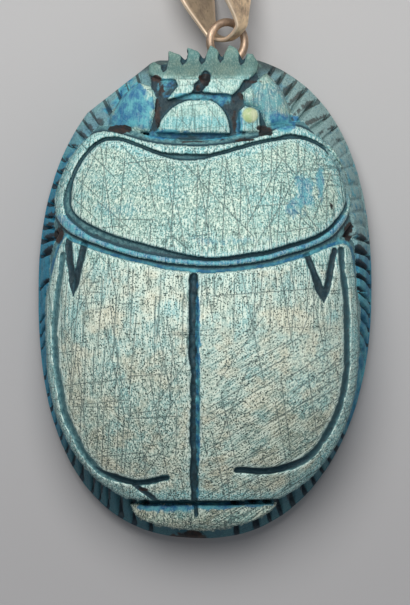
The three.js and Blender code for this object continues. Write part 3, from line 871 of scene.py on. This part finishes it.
def operator(operation, flipped=False):
    """A method that adds a Math node for a Python operator, or for its reflected form."""

    def method(self, other):
        a, b = (other, self) if flipped else (self, other)
        return self.finish.node("ShaderNodeMath", {"operation": operation}, {0: a, 1: b})

    return method


class Tone:
    """A node's output that sums, products and differences can be written with."""

    def __init__(self, finish, output):
        self.finish = finish
        self.output = output

    __add__, __radd__ = operator("ADD"), operator("ADD", flipped=True)
    __sub__, __rsub__ = operator("SUBTRACT"), operator("SUBTRACT", flipped=True)
    __mul__, __rmul__ = operator("MULTIPLY"), operator("MULTIPLY", flipped=True)


class Finish:
    """A procedural material and its nodes."""

    def __init__(self, name):
        self.material = bpy.data.materials.new(name)
        self.material.use_nodes = True
        self.nodes = self.material.node_tree.nodes
        self.links = self.material.node_tree.links
        self.shader = self.nodes["Principled BSDF"]
        self.place = self.node("ShaderNodeTexCoord", {}, {}, "Object")

    def node(self, kind, settings, sockets, output=0):
        made = self.nodes.new(kind)
        for key, value in settings.items():
            setattr(made, key, value)
        for key, value in sockets.items():
            self.feed(made.inputs[key], value)
        return Tone(self, made.outputs[output])

    def feed(self, socket, value):
        if isinstance(value, Tone):
            self.links.new(value.output, socket)
        elif isinstance(value, tuple) and len(value) == 3 and socket.type == "RGBA":
            socket.default_value = (*value, 1)
        else:
            socket.default_value = value

    def blend(self, factor, a, b, how="MIX"):
        """Colour a turning into colour b by the factor. The node's colour sockets go by number."""
        settings = {"data_type": "RGBA", "blend_type": how}
        return self.node("ShaderNodeMix", settings, {0: factor, 6: a, 7: b}, 2)

    def shade(self, factor, a, b):
        """Colour a multiplied by colour b, by the factor."""
        return self.blend(factor, a, b, "MULTIPLY")

    def band(self, value, low, high):
        """0 where the value is low and 1 where it is high, with a soft start and end."""
        sockets = {"Value": value, "From Min": low, "From Max": high}
        return self.node("ShaderNodeMapRange", {"interpolation_type": "SMOOTHSTEP"}, sockets)

    def patches(self, size, low, high, shift):
        """Soft-edged random patches about the given size."""
        return self.band(self.cloud(size, 3.0, 0.6, shift=shift), low, high)

    def mark(self, name):
            return self.node("ShaderNodeAttribute", {"attribute_name": name}, {}, "Fac")

    def along(self, axis, vector=None):
        """One coordinate of a place, or of the given vector."""
        return self.node("ShaderNodeSeparateXYZ", {}, {"Vector": vector or self.place}, axis)

    def turned(self, angle, scale, shift):
        """Places turned about Z, moved and scaled."""
        sockets = {"Vector": self.place, "Rotation": (0.0, 0.0, angle), "Location": shift}
        spun = self.node("ShaderNodeMapping", {}, sockets)
        return self.node("ShaderNodeVectorMath", {"operation": "MULTIPLY"}, {0: spun, 1: scale})

    def cloud(self, size, detail=2.0, rough=0.5, stretch=(1.0, 1.0, 1.0), angle=0.0, shift=0.0):
        """Random cloud of lumps about the given size, in millimetres."""
        where = self.turned(angle, tuple(s / (size * MM) for s in stretch), (shift * MM, 0.0, 0.0))
        sockets = {"Vector": where, "Scale": 1.0, "Detail": detail, "Roughness": rough}
        return self.node("ShaderNodeTexNoise", {}, sockets, "Fac")

    def bump(self, height, distance_mm, strength=1.0):
        sockets = {"Height": height, "Distance": distance_mm * MM, "Strength": strength}
        return self.node("ShaderNodeBump", {}, sockets, "Normal")

    def set(self, **sockets):
        names = {"base": "Base Color", "rough": "Roughness", "metal": "Metallic", "normal": "Normal",
                 "specular": "Specular IOR Level"}
        for key, value in sockets.items():
            self.feed(self.shader.inputs[names[key]], value)


def strokes(finish, angle, apart, length, thick, seed, share):
    """Straight fine strokes in one direction at random places, each in a cell of its own."""
    where = finish.turned(angle, (1 / (apart * MM), 1 / (length * MM), 0.0), (seed * 7 * MM, seed * MM, 0.0))
    cell = {"voronoi_dimensions": "2D"}
    centre = finish.node("ShaderNodeTexVoronoi", cell, {"Vector": where, "Scale": 1.0}, "Position")
    chance = Tone(finish, centre.output.node.outputs["Color"])
    away = finish.node("ShaderNodeVectorMath", {"operation": "SUBTRACT"}, {0: where, 1: centre})
    across, lengthwise = finish.along("X", away), finish.along("Y", away)
    lean, drawn = finish.along("X", chance), finish.along("Y", chance)
    slanted = across + (lean - 0.5) * lengthwise * 0.9
    off = finish.node("ShaderNodeMath", {"operation": "ABSOLUTE"}, {0: slanted})
    line = finish.band(off, thick / apart, thick / apart * 0.3)
    return line * finish.band(drawn, 1 - share, 1.15 - share)


def stone_zones(finish):
    """Areas of the stone, each 1 inside and 0 outside with a soft edge."""
    x, y = finish.along("X"), finish.along("Y")

    def past(place, low, high):
        return finish.band(place, low * MM, high * MM)

    return SimpleNamespace(
        tailward=past(y, -2, -18), wings=past(y, 3, 1.5), right_low=past(x, -1, 1) * past(y, -1, -6),
        head=past(y, 12.4, 13.2), clypeus=past(y, 17.7, 18.4), teeth=past(y, 17.9, 18.4),
        behind_teeth=past(y, 20.1, 19.2), head_side=past(y, 11, 15), tail_side=past(y, -9, -15),
        front_side=past(y, 18.2, 19.2), right_side=past(x, 5, 9) * past(y, 2, 5),
        left_side=past(x, -5, -9) * past(y, 12, 9),
    )


def stone_grit(finish, zone):
    """The fine tooth of the rubbed surface: specks, and streaks along the way each area was rubbed."""
    grit, streaky = 0.11, (1.0, 0.07, 1.0)
    speckle = finish.cloud(grit, 0.0, 0.5, (1.0, 0.85, 1.0), 0.0, 7)
    upright = finish.cloud(grit, 0.0, 0.5, streaky, 0.03, 5)
    rising = finish.cloud(grit, 0.0, 0.5, streaky, 1.0, 6)
    streak = upright * (1 - zone.right_low) + rising * zone.right_low
    crowd = finish.cloud(1.2, 3.0, 0.6, shift=13)
    tooth = speckle * 0.42 + streak * 0.58
    return SimpleNamespace(
        speckle=speckle, streak=streak, tooth=tooth,
        dots=finish.band(speckle + crowd * 0.35 + zone.tailward * 0.04, 0.78, 0.90),
        bright=finish.band(tooth, 0.50, 0.36), shadowy=finish.band(tooth, 0.50, 0.66),
    )


def scratches(finish, at, zone, smooth):
    """Long scratches: the angle, spacing, length and thickness, then the seed and the share drawn."""
    lines = (
        strokes(finish, 0.06, 0.6, 5.0, 0.075, 1, 0.5) * (1 - zone.right_low)
        + strokes(finish, -0.15, 1.1, 7.0, 0.07, 2, 0.5)
        + strokes(finish, 1.02, 0.55, 5.0, 0.075, 3, 0.6) * zone.right_low
        + strokes(finish, 1.5, 0.9, 4.0, 0.07, 4, 0.35) * (1 - zone.right_low)
        + strokes(finish, -0.75, 1.3, 5.0, 0.075, 5, 0.4) * (1 - zone.wings)
        + strokes(finish, 0.5, 1.8, 6.0, 0.075, 6, 0.4)
        + strokes(finish, 1.52, 0.5, 1.6, 0.09, 7, 0.8) * at["ticks"]
    )
    return finish.band(lines * smooth, 0, 1)


def worn_flats(finish, at, zone, grit, mottle, scored, smooth):
    """The worn glaze on the raised surfaces, with painted shade towards the tail and over the clypeus."""
    flat = finish.blend(finish.band(mottle, 0.36, 0.64), (0.52, 0.64, 0.55), (0.34, 0.55, 0.52))
    warm = finish.patches(2.4, 0.42, 0.62, 41)
    flat = finish.blend(warm * zone.wings * 0.75, flat, (0.60, 0.58, 0.44))
    flat = finish.shade(1 - zone.wings, flat, (0.80, 0.93, 0.93))
    cool = finish.patches(3.1, 0.52, 0.68, 47)
    flat = finish.blend(cool * 0.45, flat, (0.22, 0.52, 0.54))
    # Painted shade: the flats darken and warm towards the tail, which faces away from the light.
    flat = finish.shade(zone.tailward * 0.6, flat, (0.92, 0.88, 0.82))
    sooty = finish.patches(1.9, 0.52, 0.7, 61) * zone.tailward
    flat = finish.blend(sooty * 0.75, flat, (0.33, 0.30, 0.20))
    flat = finish.shade(at["grey_wear"] * 0.9, flat, (0.50, 0.58, 0.58))
    flat = finish.blend(at["pale_wear"] * 0.6, flat, (0.40, 0.68, 0.64))
    wash = finish.cloud(0.9, 3.0, 0.65, shift=53)
    flat = finish.blend(finish.band(at["fringe"] + wash * 0.8, 0.55, 1.2) * 0.7, flat, (0.17, 0.50, 0.54))

    flat = finish.blend(grit.bright * 0.6 * smooth, flat, (0.84, 0.92, 0.78))
    flat = finish.blend(grit.shadowy * 0.75 * smooth, flat, (0.12, 0.20, 0.18))
    spots = grit.dots * (1 - zone.head * 0.7) * (0.65 + 0.35 * zone.wings)
    flat = finish.blend(spots * 0.9 * smooth, flat, (0.035, 0.06, 0.055))
    flat = finish.blend(scored * 0.62, flat, (0.06, 0.10, 0.10))
    flat = finish.blend(at["edge"] * finish.band(grit.streak, 0.6, 0.4) * 0.6, flat, (0.66, 0.82, 0.76))
    # Painted shade over the clypeus and teeth, deepest just behind the teeth and easing off towards the tips.
    flat = finish.shade(zone.teeth, flat, (0.76, 0.75, 0.73))
    return finish.shade(zone.teeth * zone.behind_teeth, flat, (0.70, 0.73, 0.73))


def upright_sides(finish, zone, grit, uneven):
    """The fresher, bluer glaze on the sloping band of legs and the plinth, with painted shade on its tail and
    front ends.
    """
    wall = finish.blend(finish.patches(1.6, 0.4, 0.6, 31), (0.015, 0.17, 0.29), (0.08, 0.33, 0.40))
    greyed = zone.head_side * 0.6 + zone.right_side * finish.band(uneven, 0.3, 0.5) * 0.9
    wall = finish.blend(greyed, wall, (0.25, 0.39, 0.38))
    wall = finish.blend(zone.left_side * 0.75, wall, (0.005, 0.20, 0.33))
    # Painted shade: the wall at the tail end is darkened.
    wall = finish.blend(zone.tail_side * 0.85, wall, (0.03, 0.095, 0.11))
    # Painted shadow and dirt: the front wall under the teeth is darkened.
    wall = finish.blend(zone.front_side * 0.85, wall, (0.045, 0.055, 0.05))
    return finish.blend((grit.dots + grit.shadowy) * 0.3, wall, (0.02, 0.06, 0.08))


def glazed_stone():
    """Worn celadon on the flats, blue on the sides, and blue, teal and a dark mix of painted shade and dirt
    in the cuts.
    """
    finish = Finish("worn_celadon_glaze")
    names = ("cut", "dark", "side", "slots", "blue", "dirt", "grey_wear", "pale_wear", "eye_dot", "edge",
             "hollow", "fringe", "ticks")
    at = {name: finish.mark(name) for name in names}
    zone = stone_zones(finish)
    grit = stone_grit(finish, zone)
    smooth = 1 - zone.head * 0.35 - zone.clypeus * 0.4
    scored = scratches(finish, at, zone, smooth)
    mottle = finish.cloud(2.6, 4.0, 0.65)
    uneven = finish.cloud(0.8, 3.0, 0.65, shift=17)
    packed = finish.cloud(0.35, 3.0, 0.7, shift=23)

    flat = worn_flats(finish, at, zone, grit, mottle, scored, smooth)
    colour = finish.blend(at["side"], flat, upright_sides(finish, zone, grit, uneven))

    teal = finish.blend(finish.band(packed, 0.38, 0.62), (0.045, 0.13, 0.15), (0.15, 0.31, 0.32))
    colour = finish.blend(finish.band(at["cut"] + packed * 0.4 - 0.2, 0.15, 0.7), colour, teal)
    blue = finish.blend(finish.band(uneven, 0.38, 0.62), (0.012, 0.14, 0.31), (0.10, 0.40, 0.47))
    patchy = finish.band(at["blue"] + uneven * 0.5 + grit.tooth * 0.3, 0.65, 1.25)
    colour = finish.blend(patchy * 0.9, colour, blue)

    darker = finish.band(uneven, 0.4, 0.62)
    dark = finish.blend(darker, (0.005, 0.016, 0.028), (0.014, 0.026, 0.034))
    dirt = finish.blend(darker, (0.012, 0.016, 0.018), (0.038, 0.022, 0.018))
    # Painted shade and dirt: the cuts' dark mark turns them near black.
    shade_and_dirt = at["dark"] * (1 - at["blue"] * 0.7) + at["cut"] * 0.06 + packed * 1.2
    colour = finish.blend(finish.band(shade_and_dirt, 0.8, 1.35) * 0.9, colour, dark)
    colour = finish.blend(finish.band(at["hollow"], 0.3, 1.0) * 0.4, colour, (0.03, 0.10, 0.13))
    # The leg slots are filled dark: painted shade and dirt, browner towards the head.
    in_slot = finish.band(at["slots"] + packed * 0.5, 0.4, 0.8) * (0.95 - zone.head_side * 0.2)
    colour = finish.blend(in_slot, colour, finish.blend(zone.head_side, dark, dirt))
    colour = finish.blend(finish.band(at["dirt"] + packed * 0.9, 0.75, 1.15), colour, dirt)

    grain_tone = finish.blend(finish.band(uneven, 0.4, 0.6), (0.40, 0.52, 0.26), (0.56, 0.62, 0.40))
    colour = finish.blend(at["eye_dot"], colour, grain_tone)
    bumps = grit.tooth * 0.5 + mottle * 0.3 - scored * 0.3 - grit.dots * 0.3
    rough = 0.5 + 0.3 * grit.speckle
    finish.set(base=colour, rough=rough, specular=0.35, normal=finish.bump(bumps, 0.1, 0.6))
    return finish.material


def worn_gold(name, clean, dull):
    """Low-carat gold, tarnished in patches, with painted shade on the strip's inner face and a painted
    highlight along its edges.
    """
    finish = Finish(name)
    tarnish = finish.cloud(1.3, 3.0, 0.65)
    fine = finish.cloud(0.25, 2.0, 0.6, (1.0, 0.2, 1.0), 0.25, 4)
    metal = finish.blend(finish.band(tarnish, 0.38, 0.62), clean, dull)
    # Painted shade: the strip's inner face is darkened.
    metal = finish.blend(finish.mark("inner_face") * 0.6, metal, (0.30, 0.25, 0.19))
    metal = finish.blend(finish.band(fine, 0.55, 0.7) * 0.5, metal, (0.26, 0.20, 0.15))
    # Painted highlight: the strip's edges turn bright pale gold.
    metal = finish.blend(finish.mark("rim"), metal, (1.0, 0.80, 0.60))
    bumps = fine * 0.5 + tarnish * 0.3
    finish.set(base=metal, rough=0.42 + 0.25 * fine, metal=0.85, normal=finish.bump(bumps, 0.05, 0.4))
    return finish.material


# ---- the scene ----

FRAME_HEIGHT = 51.84
CAMERA_HEIGHT = 450.0
CAMERA_SHIFT_Y = -0.9
SENSOR_MM = 36
TABLE_HALF = 4.0
WINDOW_LIGHT = {"at": (-0.03, 0.17, 0.32), "size": 0.26, "watts": 1.36, "colour": (1.0, 0.99, 0.97)}
FILL_LIGHT = {"at": (0.18, -0.28, 0.45), "size": 0.5, "watts": 0.36, "colour": (0.95, 0.98, 1.0)}
ROOM_COLOUR = (0.9, 0.93, 1.0, 1)
ROOM_STRENGTH = 0.215


def dress(piece, material, node):
    """Turns a piece from millimetres to metres, gives it its finish and sets it on the frame."""
    flat = positions(piece.data) * MM
    piece.data.vertices.foreach_set("co", flat.astype(np.float32).ravel())
    piece.data.polygons.foreach_set("use_smooth", np.ones(len(piece.data.polygons), bool))
    piece.data.materials.clear()
    piece.data.materials.append(material)
    piece.data.update()
    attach(piece, "root")
    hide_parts(node)


def area_light(name, at, size, watts, colour):
    """A round soft light that looks at the middle of the stone."""
    lamp = bpy.data.lights.new(name, "AREA")
    lamp.shape = "DISK"
    lamp.size = size
    lamp.energy = watts
    lamp.color = colour
    piece = put(name, lamp)
    piece.location = at
    piece.rotation_euler = (-Vector(at)).to_track_quat("-Z", "Y").to_euler()


def table_top():
    finish = Finish("pale_table")
    # Painted light: the table top is lighter towards the head end, where the light is, and darker towards the
    # tail.
    far = finish.band(finish.along("Y"), -30 * MM, 30 * MM)
    finish.set(base=finish.blend(far, (0.345, 0.34, 0.345), (0.465, 0.46, 0.46)), rough=0.9)
    mesh = bpy.data.meshes.new("table_top")
    corners = [(x * TABLE_HALF, y * TABLE_HALF, 0) for x, y in ((-1, -1), (1, -1), (1, 1), (-1, 1))]
    mesh.from_pydata(corners, [], [(0, 1, 2, 3)])
    mesh.materials.append(finish.material)
    put("table_top", mesh)


def light_and_camera():
    area_light("window_light", **WINDOW_LIGHT)
    area_light("fill_light", **FILL_LIGHT)
    world = bpy.data.worlds.new("soft_room")
    world.use_nodes = True
    background = world.node_tree.nodes["Background"].inputs
    background["Color"].default_value = ROOM_COLOUR
    background["Strength"].default_value = ROOM_STRENGTH
    scene = bpy.context.scene
    scene.world = world
    scene.view_settings.view_transform = "Standard"

    lens = bpy.data.cameras.new("camera")
    lens.sensor_width = SENSOR_MM
    lens.lens = lens.sensor_width * CAMERA_HEIGHT / FRAME_HEIGHT
    lens.clip_start = 0.01
    lens.clip_end = 10
    camera = put("camera", lens)
    camera.location = (0, CAMERA_SHIFT_Y * MM, CAMERA_HEIGHT * MM)
    scene.camera = camera


relief = carved_relief()
stone = carve_stone(relief)
colour_marks(stone, relief)
dress(stone, glazed_stone(), "scarab")
rosy_gold = worn_gold("rosy_worn_gold", (0.64, 0.47, 0.34), (0.42, 0.31, 0.23))
pale_gold = worn_gold("pale_worn_gold", (1.0, 0.77, 0.51), (0.62, 0.46, 0.32))
dress(hanging_ring(), rosy_gold, "hanging_ring")
dress(folded_bail(), pale_gold, "bail")
table_top()
light_and_camera()
